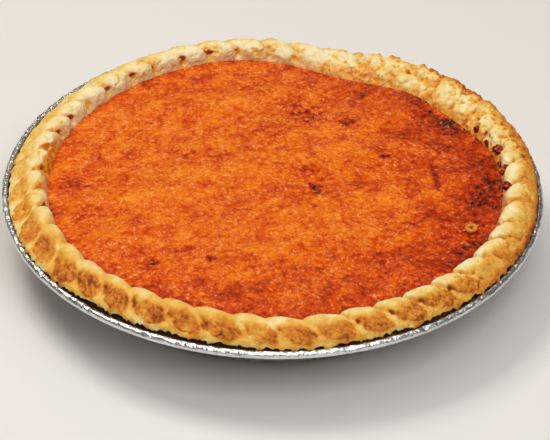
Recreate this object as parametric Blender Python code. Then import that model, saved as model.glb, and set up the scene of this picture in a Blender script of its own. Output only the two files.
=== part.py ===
"""Sweet potato pie, baked and served in its foil tin.

Three pieces, nested with a small gap between them: a pleated foil tin with a rolled rim,
a pastry case whose edge is crimped into leaning flutes, and the baked filling.
The origin is the centre of the tin's flat underside, +Z is up, and the front is -Y.
"""

import math
import random

import bmesh
import bpy

MM = 0.001

# Foil tin, the usual nine inch pie plate
TIN_RADIUS = 111 * MM
TIN_FOOT_RADIUS = 79.5 * MM
TIN_WALL_FOOT = (81.6 * MM, 1.6 * MM)
TIN_WALL_TOP = (99.2 * MM, 26.2 * MM)
FOIL = 0.5 * MM
FLANGE_Z = 26.9 * MM
BEAD_RADIUS = 1.6 * MM
BEAD_Z = 28 * MM
PLEATS = 60
PLEAT_DEPTH = 0.5 * MM
STIFFENING_RING = (58 * MM, 64 * MM)
STIFFENING_RISE = 0.7 * MM
# Where the rim was bent down at the back: angle, width in degrees, outwards and upwards
RIM_DENT = (164, 13, -0.6 * MM, -3.0 * MM)

# Pastry case
FLUTES = 45
FIRST_FLUTE = 0.76
FLUTE_COLUMNS = (0.0, 0.12, 0.3, 0.5, 0.7, 0.88)
FLUTE_LEAN = 0.62
FLUTE_SKEW = 0.8
# The creases run deepest over the crest at this angle, and are shortest opposite
DEEPEST_CREASES = math.radians(-150)
PASTRY_BASE_Z = 1.6 * MM
PASTRY_FLOOR_Z = 5.1 * MM
PASTRY_FLOOR_RADIUS = 74.5 * MM
PASTRY_TO_TIN = 1.4 * MM
# The edge and the filling sit this far to the right of the tin's centre
PASTRY_SHIFT = 1.0 * MM
SMOOTH_COLUMNS = 96

# Cross-section of the crimped edge, from the filling, up the inside, over the top and
# down to the lip that overhangs the tin: radius, height, and depth of the crease there, first
# where the creases run deepest and then opposite
EDGE = (
    (93.6, 29.4, 0.0, 0.0),
    (93.7, 31.6, 0.7, 0.7),
    (94.2, 34.2, 1.4, 2.0),
    (95.6, 36.2, 1.4, 2.3),
    (98.2, 37.2, 1.4, 1.1),
    (101.2, 36.6, 1.7, 0.4),
    (103.9, 34.9, 2.2, 0.6),
    (106.0, 33.4, 1.8, 0.8),
    (107.4, 32.2, 0.8, 0.5),
    (108.1, 31.2, 0.3, 0.3),
    (106.6, 30.2, 0.0, 0.0),
)
EDGE_ROWS = (0.0, 1.0, 2.0, 3.0, 4.0, 5.0, 6.0, 6.8, 7.6, 8.4, 9.2, 10.0)
KNOB_ROW = 6.6
KNOB_ROWS = 1.7
KNOB_COLUMNS = 0.43
KNOB_RISE = 0.5 * MM
# Where the lip hangs further out: angle and width in degrees, and how far
LIP_REACH = (-68, 24, 1.8 * MM)
# Where the inner wall slumped towards the filling: angle and width in degrees, and how far
SLUMPS = ((124, 12, 5.5 * MM), (155, 14, 5.5 * MM))

# Filling
FILLING_GAP = 0.4 * MM
FILLING_EDGE_Z = 29.5 * MM
FILLING_DOME = 1.1 * MM
FILLING_RINGS = ((91.2, 96), (87, 96), (80, 96), (70, 48), (58, 48), (45, 48), (31, 24), (16, 12))

# Where the crimped edge strays from a true circle: angle and width in degrees, then how far
# it stands out and how far it stands up, in millimetres
STRAYS = (
    (164, 13, -3.4, -1.6),
    (134, 11, 0.6, 0.3),
    (-162, 12, 0.5, 0.1),
    (-113, 26, -1.0, -0.1),
    (109, 9, 0.9, 0.0),
    (88, 16, -0.3, -0.2),
    (-62, 12, 0.2, -0.1),
    (-26, 14, -0.3, 0.6),
    (5, 5, 0.9, -0.3),
    (39, 11, -0.3, 0.6),
)


def clear_scene():
    for obj in list(bpy.data.objects):
        bpy.data.objects.remove(obj)


def material(name, colour, roughness, metallic=0.0):
    made = bpy.data.materials.new(name)
    made.use_nodes = True
    shader = made.node_tree.nodes["Principled BSDF"]
    shader.inputs["Base Color"].default_value = (*colour, 1)
    shader.inputs["Roughness"].default_value = roughness
    shader.inputs["Metallic"].default_value = metallic
    return made


def point(radius, turn, z):
    """A point at a turn, in radians, from the front (-Y) towards +X."""
    return (radius * math.sin(turn), -radius * math.cos(turn), z)


def round_ring(radius, z, count):
    return [point(radius, math.tau * i / count, z) for i in range(count)]


def smoothstep(x):
    x = min(max(x, 0.0), 1.0)
    return x * x * (3 - 2 * x)


def skin_between(mesh, lower, upper):
    """Triangles between two rings of vertices that start at the same side. Their counts may differ."""
    a, b = 0, 0
    while a < len(lower) or b < len(upper):
        low, high = lower[a % len(lower)], upper[b % len(upper)]
        if b >= len(upper) or (a < len(lower) and (a + 1) / len(lower) <= (b + 1) / len(upper)):
            a += 1
            mesh.faces.new((low, lower[a % len(lower)], high))
        else:
            b += 1
            mesh.faces.new((low, upper[b % len(upper)], high))


def closed_body(name, bottom_z, rings, top_z, finish):
    """A solid skinned from a point on the axis below, through the rings, to a point on the axis above."""
    mesh = bmesh.new()
    loops = [[mesh.verts.new(p) for p in ring] for ring in rings]
    for lower, upper in zip(loops, loops[1:]):
        skin_between(mesh, lower, upper)
    for loop, z in ((loops[0], bottom_z), (loops[-1], top_z)):
        centre = mesh.verts.new((0, 0, z))
        for one, other in zip(loop, loop[1:] + loop[:1]):
            mesh.faces.new((one, other, centre))
    bmesh.ops.recalc_face_normals(mesh, faces=mesh.faces)
    data = bpy.data.meshes.new(name)
    mesh.to_mesh(data)
    mesh.free()
    data.materials.append(finish)
    data.shade_smooth()
    obj = bpy.data.objects.new(name, data)
    bpy.context.scene.collection.objects.link(obj)
    return obj


# --- foil tin


def tin_base_rings(lift):
    """The flat base with its raised stiffening ring, from the middle outwards."""
    inner, outer = STIFFENING_RING
    edge = STIFFENING_RISE
    profile = (
        (inner, 0),
        (inner + edge, STIFFENING_RISE),
        (outer - edge, STIFFENING_RISE),
        (outer, 0),
    )
    return [round_ring(radius, z + lift, PLEATS // 2) for radius, z in profile]


def pleated_ring(radius, z, depth=PLEAT_DEPTH):
    """Two columns to a pleat, one pushed out and one drawn in."""
    return [
        point(radius + (depth if i % 2 else -depth), math.tau * i / (2 * PLEATS), z)
        for i in range(2 * PLEATS)
    ]


def dented(ring):
    """The same ring, with the dent in the rim."""
    angle, width, outwards, upwards = RIM_DENT
    moved = []
    for i, (x, y, z) in enumerate(ring):
        apart = (360 * i / len(ring) - angle + 180) % 360 - 180
        share = math.exp(-((apart / width) ** 2) / 2)
        scale = 1 + outwards * share / math.hypot(x, y)
        moved.append((x * scale, y * scale, z + upwards * share))
    return moved


def bead_rings(start, end, count):
    """The rolled rim's round section, from one angle to another, in degrees above level."""
    centre = TIN_RADIUS - BEAD_RADIUS
    rings = []
    for i in range(count):
        angle = math.radians(start + (end - start) * i / (count - 1))
        radius = centre + BEAD_RADIUS * math.cos(angle)
        rings.append(dented(round_ring(radius, BEAD_Z + BEAD_RADIUS * math.sin(angle), 2 * PLEATS)))
    return rings


def foil_tin():
    foot_r, foot_z = TIN_WALL_FOOT
    top_r, top_z = TIN_WALL_TOP
    bead_inside = TIN_RADIUS - 2 * BEAD_RADIUS
    outside = [
        round_ring(TIN_FOOT_RADIUS, 0, 2 * PLEATS),
        pleated_ring(foot_r, foot_z),
        pleated_ring(top_r, top_z),
        pleated_ring(top_r + 1.6 * MM, FLANGE_Z, PLEAT_DEPTH / 2),
        dented(round_ring(bead_inside + FOIL, FLANGE_Z, 2 * PLEATS)),
    ]
    inside = [
        dented(round_ring(bead_inside, FLANGE_Z + FOIL, 2 * PLEATS)),
        pleated_ring(top_r + 1.2 * MM, FLANGE_Z + FOIL, PLEAT_DEPTH / 2),
        pleated_ring(top_r - FOIL, top_z + FOIL / 2),
        pleated_ring(foot_r - FOIL, foot_z + FOIL / 2),
        round_ring(TIN_FOOT_RADIUS - FOIL / 2, FOIL, 2 * PLEATS),
    ]
    bead = bead_rings(-110, 160, 7)
    rings = tin_base_rings(0) + outside + bead + inside + tin_base_rings(FOIL)[::-1]
    finish = material("aluminium_foil", (0.78, 0.78, 0.79), 0.28, 1.0)
    return closed_body("foil_tin", 0, rings, FOIL, finish)


# --- pastry case


def stray(turn):
    """How far out and up the edge strays at a turn, in metres."""
    out, up = 0.0, 0.0
    for angle, width, outwards, upwards in STRAYS:
        apart = (math.degrees(turn) - angle + 180) % 360 - 180
        share = math.exp(-((apart / width) ** 2) / 2)
        out += outwards * share
        up += upwards * share
    return out * MM, up * MM


def reach(turn, place):
    """How far the edge reaches at a turn because of one place, given by angle, width and distance."""
    angle, width, distance = place
    apart = (math.degrees(turn) - angle + 180) % 360 - 180
    return distance * math.exp(-((apart / width) ** 2) / 2)


def slump(turn):
    return sum(reach(turn, place) for place in SLUMPS)


def edge_at(row):
    """Radius, height, both crease depths and outward normal of the edge's section, on a smooth curve."""
    last = len(EDGE) - 1
    i = min(int(row), last - 1)
    t = row - i
    a, b, c, d = (EDGE[min(max(k, 0), last)] for k in (i - 1, i, i + 1, i + 2))
    value, slope = [], []
    for p, q, r, s in zip(a, b, c, d):
        k1, k2, k3 = r - p, 2 * p - 5 * q + 4 * r - s, 3 * q - 3 * r + s - p
        value.append((q + (k1 * t + k2 * t * t + k3 * t**3) / 2) * MM)
        slope.append((k1 + 2 * k2 * t + 3 * k3 * t * t) / 2)
    length = math.hypot(slope[0], slope[1])
    return value, (-slope[1] / length, slope[0] / length)


def flute_marks(rng):
    """For each flute where it starts, in flutes, how deep its creases are and how far its knob stands out."""
    return [
        (k + FIRST_FLUTE + rng.uniform(-0.1, 0.1), rng.uniform(0.8, 1.2), rng.uniform(0.5, 1.3))
        for k in range(FLUTES)
    ]


def crimped_point(column, row, marks):
    """A point of the crimped edge. column counts flutes round the pie, row runs over the section."""
    k, phase = int(column) % FLUTES, column % 1
    start, depth, knob = marks[k]
    end = marks[(k + 1) % FLUTES][0] + (FLUTES if k == FLUTES - 1 else 0)
    lean = FLUTE_LEAN * smoothstep((row - 2) / 7)
    turn = math.tau * (start + (end - start) * phase + lean) / FLUTES
    (radius, z, deepest, shallowest), (normal_r, normal_z) = edge_at(row)
    crease = shallowest + (deepest - shallowest) * (0.5 + 0.5 * math.cos(turn - DEEPEST_CREASES))
    lobe = math.sqrt(math.sin(math.pi * phase**FLUTE_SKEW)) if phase else 0.0
    off_centre = math.hypot((phase - 0.5) / KNOB_COLUMNS, (row - KNOB_ROW) / KNOB_ROWS)
    rise = (lobe - 1) * crease * depth + KNOB_RISE * knob * smoothstep(1.25 - off_centre)
    out, up = stray(turn)
    out += reach(turn, LIP_REACH) * smoothstep((row - 6) / 2.5)
    out -= slump(turn) * (1 - smoothstep(row / 3.5))
    return point(radius + normal_r * rise + out, turn, z + normal_z * rise + up)


def strayed_ring(radius, z, count, share=1.0, lift=1.0, slumped=1.0):
    """A plain ring that follows some share of the edge's straying, and of its height where lift is 1."""
    ring = []
    for i in range(count):
        turn = math.tau * i / count
        out, up = stray(turn)
        out -= slump(turn) * slumped
        ring.append(point(radius + share * out, turn, z + share * lift * up))
    return ring


def shifted(rings):
    """The same rings, moved to where the pastry's edge sits in the tin."""
    return [[(x + PASTRY_SHIFT, y, z) for x, y, z in ring] for ring in rings]


def pastry_inside_rings(inset):
    """The case's inner wall below the filling's surface, from the top down, drawn in by inset."""
    top_r, top_z = EDGE[0][0] * MM, EDGE[0][1] * MM
    return [
        strayed_ring(top_r - inset, top_z - 0.2 * MM, SMOOTH_COLUMNS),
        strayed_ring(top_r - 1.5 * MM - inset, top_z - 3.4 * MM, SMOOTH_COLUMNS, 0.7),
        strayed_ring(PASTRY_FLOOR_RADIUS + 2 * MM - inset, PASTRY_FLOOR_Z + 1 * MM + inset, SMOOTH_COLUMNS, 0),
        strayed_ring(PASTRY_FLOOR_RADIUS - inset, PASTRY_FLOOR_Z + inset, SMOOTH_COLUMNS, 0),
    ]


def pastry_case():
    marks = flute_marks(random.Random(9))
    columns = [k + c for k in range(FLUTES) for c in FLUTE_COLUMNS]
    edge = [[crimped_point(c, row, marks) for c in columns] for row in EDGE_ROWS]
    foot_r, foot_z = TIN_WALL_FOOT
    top_r, top_z = TIN_WALL_TOP
    outside = [
        round_ring(foot_r - PASTRY_TO_TIN - 2 * MM, PASTRY_BASE_Z, SMOOTH_COLUMNS),
        round_ring(foot_r - PASTRY_TO_TIN, foot_z + 2 * MM, SMOOTH_COLUMNS),
        round_ring(top_r - PASTRY_TO_TIN - FOIL, top_z, SMOOTH_COLUMNS),
        round_ring(top_r + 0.5 * MM, FLANGE_Z + FOIL + 0.5 * MM, SMOOTH_COLUMNS),
    ]
    under_lip = strayed_ring(103.9 * MM, FLANGE_Z + FOIL + 0.8 * MM, SMOOTH_COLUMNS, lift=0, slumped=0)
    rings = outside + shifted([under_lip] + edge[:0:-1] + pastry_inside_rings(0))
    finish = material("baked_pastry", (0.80, 0.50, 0.17), 0.75)
    return closed_body("pastry_case", PASTRY_BASE_Z, rings, PASTRY_FLOOR_Z, finish)


# --- filling


def filling_relief(x, y):
    """Height of the baked skin over its edge: a low dome with soft slanting swells."""
    reach = min(math.hypot(x, y) / (92 * MM), 1.0)
    slant, along = (0.8 * y - 0.6 * x) / MM, (0.8 * x + 0.6 * y) / MM
    swell = math.sin(slant / 8.3 + 0.9 * math.sin(along / 21)) + 0.7 * math.sin(slant / 4.7 + along / 13)
    return (1 - reach**2) * FILLING_DOME + 0.32 * MM * swell * smoothstep((1 - reach) * 9)


def sweet_potato_filling():
    top = []
    for radius, count in FILLING_RINGS:
        ring = strayed_ring(radius * MM, FILLING_EDGE_Z + 0.5 * MM, count, min(1, (radius / 90) ** 3))
        top.append([(x, y, z + filling_relief(x, y)) for x, y, z in ring])
    wall = pastry_inside_rings(FILLING_GAP)
    finish = material("baked_sweet_potato", (0.72, 0.16, 0.015), 0.42)
    centre = FILLING_EDGE_Z + 0.5 * MM + filling_relief(0, 0)
    rings = shifted(wall[::-1] + top)
    return closed_body("sweet_potato_filling", PASTRY_FLOOR_Z + FILLING_GAP, rings, centre, finish)


def main():
    clear_scene()
    foil_tin()
    pastry_case()
    sweet_potato_filling()


main()
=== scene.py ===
# %% [markdown]
# # Sweet potato pie in its foil tin
#
# This lesson dresses a baked pie. Its solids are already there: a pleated foil tin, a pastry
# case with a hand-crimped edge, and the filling. The solids hold the sizes. Here each of them
# gets the detail that the eye looks for in food, such as cracks, browning, wet edges and a
# pebbled skin, and then a finish that is named after what it really is.
#
# We work in millimetres, because that is how a baker's tin is measured, and turn to metres
# once, where a mesh is made.

import math
import random

import bmesh
import bpy
from mathutils import Matrix, Vector, noise


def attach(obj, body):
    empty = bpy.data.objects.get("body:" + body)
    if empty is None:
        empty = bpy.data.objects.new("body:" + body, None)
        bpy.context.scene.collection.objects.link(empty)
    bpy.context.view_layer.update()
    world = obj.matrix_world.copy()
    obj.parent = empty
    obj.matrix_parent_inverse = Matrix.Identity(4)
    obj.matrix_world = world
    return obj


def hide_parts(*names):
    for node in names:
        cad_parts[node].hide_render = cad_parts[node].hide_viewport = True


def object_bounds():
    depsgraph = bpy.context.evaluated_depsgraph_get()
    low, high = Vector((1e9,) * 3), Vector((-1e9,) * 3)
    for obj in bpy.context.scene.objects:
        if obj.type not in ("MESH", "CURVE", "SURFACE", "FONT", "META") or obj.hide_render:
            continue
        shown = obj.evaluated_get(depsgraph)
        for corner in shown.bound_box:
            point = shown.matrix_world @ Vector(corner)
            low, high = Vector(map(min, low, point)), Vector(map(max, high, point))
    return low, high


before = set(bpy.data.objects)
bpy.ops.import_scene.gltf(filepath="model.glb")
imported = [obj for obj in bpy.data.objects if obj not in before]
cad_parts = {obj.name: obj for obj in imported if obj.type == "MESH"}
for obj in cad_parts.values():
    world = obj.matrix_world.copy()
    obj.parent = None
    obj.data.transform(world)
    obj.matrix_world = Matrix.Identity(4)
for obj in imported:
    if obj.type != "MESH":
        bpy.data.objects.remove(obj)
cad_box = [list(corner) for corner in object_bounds()]
MM = 0.001
TOP = cad_box[1][2] / MM
print("solids:", sorted(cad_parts), "top at", round(TOP, 2), "mm")

# %% [markdown]
# ## Camera
#
# A pie on a table is looked down on from about 35 degrees, and from close by, so its near edge
# looks wider than its far one. A camera in Blender looks along its own -Z axis. We state where
# it stands and what it looks at, and let a quaternion turn it. A small roll about its own axis
# finishes it, because a hand-held camera is never quite level.

# %% Camera
EYE = (1.0, -766.6, 571.9)
AIM = (1.2, -24.1, 28.0)
FOCAL_LENGTH = 149.6
ROLL = 1.14

camera = bpy.data.objects.new("camera", bpy.data.cameras.new("camera"))
bpy.context.scene.collection.objects.link(camera)
gaze = Vector(AIM) - Vector(EYE)
turned = gaze.to_track_quat("-Z", "Y").to_matrix().to_4x4() @ Matrix.Rotation(math.radians(ROLL), 4, "Z")
camera.matrix_world = Matrix.Translation(Vector(EYE) * MM) @ turned
camera.data.lens = FOCAL_LENGTH
camera.data.sensor_width = 36
bpy.context.scene.camera = camera
bpy.context.scene.view_settings.view_transform = "Standard"
print("camera distance", round(gaze.length), "mm")

# %% [markdown]
# ## Small tools for shapes
#
# Everything round the pie is a ring of points, so a point is given by its radius, its turn
# about the axis and its height. Two neighbouring rings are skinned with triangles, and the
# rings may have different counts. That lets a finely detailed edge end in a plain hidden wall
# without wasting faces on it.

# %% Rings and skins
def place(radius, turn, height):
    """A point at a turn, in radians, from the front (-Y) towards +X."""
    return (radius * math.sin(turn), -radius * math.cos(turn), height)


def smoothstep(x):
    x = min(max(x, 0.0), 1.0)
    return x * x * (3 - 2 * x)


def bell(x, width):
    return math.exp(-((x / width) ** 2))


def towards(turn, angle, start, width):
    """1 on the side of the pie that faces an angle in degrees, and 0 well away from it."""
    return smoothstep((math.cos(turn - math.radians(angle)) - start) / width)


def skin_between(mesh, lower, upper):
    """Triangles between two rings of vertices that start at the same side."""
    a, b = 0, 0
    while a < len(lower) or b < len(upper):
        low, high = lower[a % len(lower)], upper[b % len(upper)]
        if b >= len(upper) or (a < len(lower) and (a + 1) / len(lower) <= (b + 1) / len(upper)):
            a += 1
            mesh.faces.new((low, lower[a % len(lower)], high))
        else:
            b += 1
            mesh.faces.new((low, upper[b % len(upper)], high))


def cap(mesh, loop, height):
    centre = mesh.verts.new((0, 0, height * MM))
    for one, other in zip(loop, loop[1:] + loop[:1]):
        mesh.faces.new((one, other, centre))


def finish_piece(name, mesh, node, marks=None):
    """Turns the mesh into a piece that stands for a solid. marks holds, for each attribute's
    name, one number for each of the first vertices. The rest get zero."""
    bmesh.ops.recalc_face_normals(mesh, faces=mesh.faces)
    data = bpy.data.meshes.new(name)
    mesh.to_mesh(data)
    mesh.free()
    data.shade_smooth()
    for mark, values in (marks or {}).items():
        layer = data.attributes.new(mark, "FLOAT", "POINT")
        layer.data.foreach_set("value", values + [0.0] * (len(data.vertices) - len(values)))
    piece = bpy.data.objects.new(name, data)
    bpy.context.scene.collection.objects.link(piece)
    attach(piece, "root")
    if node:
        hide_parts(node)
    print(name, "has", len(data.polygons), "faces")
    return piece


# %% [markdown]
# Baked food is uneven at every size. Perlin noise gives soft bumps of one size, and a fractal
# sum of it adds finer ones on top. We ask for it by the distance between bumps in millimetres.

# %% Unevenness
def uneven(point, size, octaves=1, seed=0.0):
    """Soft noise around zero with bumps about size millimetres apart."""
    x, y, z = point
    return noise.fractal(Vector((x / size + seed, y / size - seed, z / size)), 0.7, 2.1, octaves)


# %% [markdown]
# ## The crimped pastry edge
#
# Rolled pastry is laid in the tin, folded over at the rim and pressed between finger and thumb
# all the way round. Each press leaves a flute: a lobe that points at the filling, a crease on
# either side that leans as it runs outwards, and on the outer face an oval dent where the
# pastry was pinched. The cross-section is a smooth curve through a few named stations, and
# each station says how deep the creases are there.

# %% The edge's cross-section
FLUTES = 45
FIRST_FLUTE = 0.76
FLUTE_LEAN = 0.62
FLUTE_SKEW = 0.8
DEEPEST_CREASES = math.radians(-150)
# Where the lip reaches out, and where the inner wall slumped in: angle, width and how far
LIP_REACH = (-68, 24, 1.8)
SLUMPS = ((124, 12, 5.5), (155, 14, 5.5))
# Stations from the filling over to the lip: radius, height, deepest and shallowest crease
SECTION = (
    (93.6, 29.4, 0.0, 0.0),
    (93.7, 31.6, 0.7, 0.7),
    (94.2, 34.2, 1.4, 2.0),
    (95.6, 36.2, 1.4, 2.3),
    (98.2, 37.2, 1.4, 1.1),
    (101.2, 36.6, 1.7, 0.4),
    (103.9, 34.9, 2.2, 0.6),
    (106.0, 33.4, 1.8, 0.8),
    (107.4, 32.2, 0.8, 0.5),
    (108.1, 31.2, 0.3, 0.3),
    (106.6, 30.2, 0.0, 0.0),
)
# Where the edge strays from a circle: angle, width, how far outwards and how far upwards
STRAYS = (
    (164, 13, -3.4, -1.6),
    (134, 11, 0.6, 0.3),
    (-162, 12, 0.5, 0.1),
    (-113, 26, -1.0, -0.1),
    (109, 9, 0.9, 0.0),
    (88, 16, -0.3, -0.2),
    (-62, 12, 0.2, -0.1),
    (-26, 14, -0.3, 0.6),
    (5, 5, 0.9, -0.3),
    (39, 11, -0.3, 0.6),
)


def stray(turn):
    """How far the edge strays outwards and upwards from a true circle, in millimetres."""
    out, up = 0.0, 0.0
    for angle, width, outwards, upwards in STRAYS:
        apart = (math.degrees(turn) - angle + 180) % 360 - 180
        share = math.exp(-((apart / width) ** 2) / 2)
        out += outwards * share
        up += upwards * share
    return out, up


def reach(turn, place_on_edge):
    """How far the edge reaches at a turn because of one place: angle, width and distance."""
    angle, width, distance = place_on_edge
    apart = (math.degrees(turn) - angle + 180) % 360 - 180
    return distance * bell(apart / math.sqrt(2), width)


def slump(turn):
    """How far the inner wall slumped towards the filling before it set, in millimetres."""
    return sum(reach(turn, where) for where in SLUMPS)


def section_at(row):
    """Radius, height and both crease depths on the smooth section, and its outward normal."""
    last = len(SECTION) - 1
    i = min(int(row), last - 1)
    t = row - i
    a, b, c, d = (SECTION[min(max(k, 0), last)] for k in (i - 1, i, i + 1, i + 2))
    value, slope = [], []
    for p, q, r, s in zip(a, b, c, d):
        k1, k2, k3 = r - p, 2 * p - 5 * q + 4 * r - s, 3 * q - 3 * r + s - p
        value.append(q + (k1 * t + k2 * t * t + k3 * t**3) / 2)
        slope.append((k1 + 2 * k2 * t + 3 * k3 * t * t) / 2)
    length = math.hypot(slope[0], slope[1])
    return value, (-slope[1] / length, slope[0] / length)


# %% One flute after another
fingers = random.Random(9)
flute_marks = [
    (k + FIRST_FLUTE + fingers.uniform(-0.1, 0.1), fingers.uniform(0.8, 1.2), fingers.uniform(0.5, 1.3))
    for k in range(FLUTES)
]
print("flutes:", len(flute_marks))
# A thumb print's middle row, its half height in rows and its half width as a share of a flute
KNOB_ROW = 6.2
KNOB_ROWS = 2.1
KNOB_COLUMNS = 0.43

# %% [markdown]
# Which way a flute faces decides how it looks: thumb prints show at the front, creases are sharp
# at the right, the far right is craggy and the back left is paler. Every mark that a thumb or
# the oven leaves does two things: it raises or sinks the pastry, and it bakes darker or paler; a
# few marks instead carry painted shade or painted light in that second amount. So the marks
# stand in one table with both amounts, and a point of the edge only has to say how strongly it
# has each of them.

# %% Sides, patterns and marks
# Each side's angle in degrees, the cosine at which it starts, and how much more makes it full
SIDES = {
    "thumbed": (-20, -0.15, 0.8),
    "front": (-20, 0.0, 0.8),
    "crisp": (80, 0.1, 0.7),
    "pale": (-140, -0.1, 0.9),
    "rough": (130, 0.72, 0.2),
    "golden": (95, 0.1, 0.7),
    "left": (-128, 0.4, 0.25),
    # The side whose inner wall is painted paler as painted light
    "left_wall_painted_light": (-128, 0.5, 0.3),
    "wet_left": (-92, 0.75, 0.2),
    "grooved": (65, 0.35, 0.5),
    "hollowed": (35, 0.0, 0.9),
    "stained": (-160, -0.2, 0.5),
    "beaded": (96, 0.9, 0.08),
}
# Each pattern's distance between bumps in millimetres, its octaves and its seed
PATTERNS = {
    "lumps": (3.2, 3, 0),
    "grain": (1.1, 2, 5),
    "broad": (11, 2, 9),
    "ridges": (3.4, 2, 12),
    "cracks": (5.5, 2, 2),
    "folds": (6.5, 2, 41),
    "pits": (2.6, 2, 31),
    "pale_pits": (3.4, 2, 31),
    "tips": (4.5, 2, 33),
    "rubble": (4.8, 3, 21),
    "lip_waves": (7, 1, 13),
    "patches": (5, 2, 7),
    "beads": (4.5, 2, 7),
    "spots": (12, 1, 17),
}
# Flakes lie flat, so their pattern is this much lower than wide
FLAKES = (2.6, 2, 3)
FLAKES_FLATTENED = 2.5
# The row that each mark lies on, and how many rows it spreads over
MARK_ROWS = {
    "stain": (1.0, 1.1),
    "bead": (2.1, 0.8),
    "pale_pits": (2.4, 2.0),
    "spot": (2.5, 1.3),
    "lobe": (3.0, 1.2),
    "nick": (3.2, 1.5),
    "rubble": (3.4, 3.2),
    "pits": (3.6, 3.0),
    "hollow": (5.5, 0.6),
    "tips": (5.8, 1.3),
    "folds": (6.0, 2.0),
}
# How far each mark raises the pastry in millimetres, and how much browner it bakes. For the crisp nicks
# this is painted shade, and for the lobes and the far-left wall painted light.
MARKS = {
    "knob": (0.5, 0.0),
    "print": (0.0, 0.33),
    "print_ridges": (0.16, -0.05),
    "print_grooves": (-0.2, 0.03),
    "print_grain": (0.1, 0.12),
    "print_rim": (-0.35, 0.16),
    "round_print": (0.0, -0.1),
    "groove": (-0.5, 0.36),
    "hollow": (-1.1, 0.28),
    "crack": (-0.25, 0.1),
    "nick": (-0.8, 0.0),
    # The crisp nicks are painted darker: painted shade in the notches
    "crisp_nick_painted_shade": (-0.9, 0.6),
    "gap": (-1.3, 0.0),
    "crisp_gap": (-1.5, 0.0),
    # The gaps between the lobes are darker in patches
    "darker_gap_patches": (0.0, 0.42),
    "crease_line": (0.0, 0.12),
    "fold": (-0.5, 0.16),
    "pit": (-0.9, 0.4),
    "tip": (1.1, 0.3),
    "rubble": (1.6, 0.0),
    "under_rubble": (0.0, 0.36),
    "lumps": (0.16, 0.12),
    "outer_lumps": (0.2, 0.0),
    "pale_lumps": (0.34, 0.0),
    "crisp_lumps": (0.16, 0.0),
    "grain": (0.09, 0.0),
    "outer_grain": (0.08, 0.0),
    "broad": (0.0, 0.16),
    "stain": (0.0, 0.32),
    "lip": (-0.2, 0.0),
    "lip_flakes": (1.0, 0.0),
    "lip_waves": (0.5, 0.0),
    "lip_edge": (0.0, 1.0),
    "plain_outside": (0.0, 1.0),
    "golden": (0.0, 0.1),
    "crisp_lip": (0.0, 0.1),
    "crisp_body": (0.0, -0.13),
    # The lobe tops are painted paler: painted highlight
    "lobe": (0.0, -0.12),
    "crisp_lobe_painted_highlight": (0.0, -0.13),
    "rough_inside": (0.0, -0.03),
    # The inner wall at the far left is painted paler: painted light
    "left_wall_painted_light": (0.0, -0.16),
    "pale": (0.0, -0.22),
}
PLAIN_BROWNING = 0.37
DARKEST = 0.92
print("marks:", len(MARKS), "patterns:", len(PATTERNS) + 1)


def on_row(row, mark):
    """1 on the row of a mark, and less the further away."""
    middle, spread = MARK_ROWS[mark]
    return bell(row - middle, spread)


def weigh(table, shares):
    """The two columns of a table of marks, each added up by how strongly each mark is there."""
    return [sum(table[name][n] * share for name, share in shares.items()) for n in (0, 1)]


# %% Lobes and creases
def lobe_shape(phase, row, facing):
    """A lobe's height between its two creases, from 0 to 1."""
    sharpness = 0.5 + 0.4 * (1 - facing["crisp"]) * smoothstep((5.4 - row) / 2) - 0.14 * facing["crisp"]
    return math.sin(math.pi * phase**FLUTE_SKEW) ** sharpness if 0 < phase < 1 else 0.0


def crease_depth(turn, row, deepest, shallowest, facing):
    """Depth in millimetres. Creases are shallower at the front and in the crags, and at the
    right they run out on top of the edge."""
    crease = shallowest + (deepest - shallowest) * (0.5 + 0.5 * math.cos(turn - DEEPEST_CREASES))
    crease *= 1 - 0.3 * (1 - facing["crisp"]) * facing["front"]
    crease *= 1 - 0.6 * facing["rough"]
    return crease * (1 - 0.55 * facing["fluted"] * smoothstep((row - 3.4) / 1.4))


def print_marks(phase, row, knob, outer, facing, soft):
    """The thumb print: a browned oval with ridges on a knob of pastry, a groove round it and a
    pit beside it. Away from the thumbs the outside stays plain."""
    lumps, thumbed = soft["lumps"], facing["thumbed"]
    across, down = (phase - 0.5) / KNOB_COLUMNS, (row - KNOB_ROW) / KNOB_ROWS
    off_centre = math.hypot(across, down)
    dent = smoothstep((1.12 + 0.12 * lumps - off_centre) * 3.5) * outer * thumbed
    wave = math.sin(12 * math.hypot(across + 0.5, down - 0.4) + 5.0 * soft["ridges"])
    rim = bell(off_centre - 1.0 - 0.08 * lumps, 0.10) * smoothstep(0.55 - 0.8 * down + 0.3 * lumps)
    groove = bell(off_centre - 0.95 - 0.1 * lumps, 0.07) * smoothstep(0.4 - down + 0.3 * lumps)
    hollow = bell(phase - 0.10 - 0.09 * (row - 5.4), 0.035 + 0.03 * smoothstep(6.2 - row))
    hollow *= on_row(row - 0.3 * lumps, "hollow") * (knob - 0.3) * (0.3 + 0.8 * facing["hollowed"])
    plain = outer * (1 - thumbed) * (0.16 + 0.12 * smoothstep((row - 7) / 2)) * (1 - 0.4 * facing["pale"])
    return {
        "knob": knob * smoothstep(1.25 - off_centre),
        "print": dent,
        "print_ridges": wave * dent,
        "print_grooves": smoothstep((-wave - 0.3) / 0.7) * dent,
        "print_grain": dent * soft["grain"],
        "print_rim": rim * outer * thumbed,
        "round_print": thumbed * outer * smoothstep((off_centre - 1.1) * 3),
        "groove": groove * outer * facing["grooved"],
        "hollow": hollow * thumbed,
        "crack": bell(soft["cracks"], 0.045) * (0.25 + dent),
        "plain_outside": plain,
    }


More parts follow.
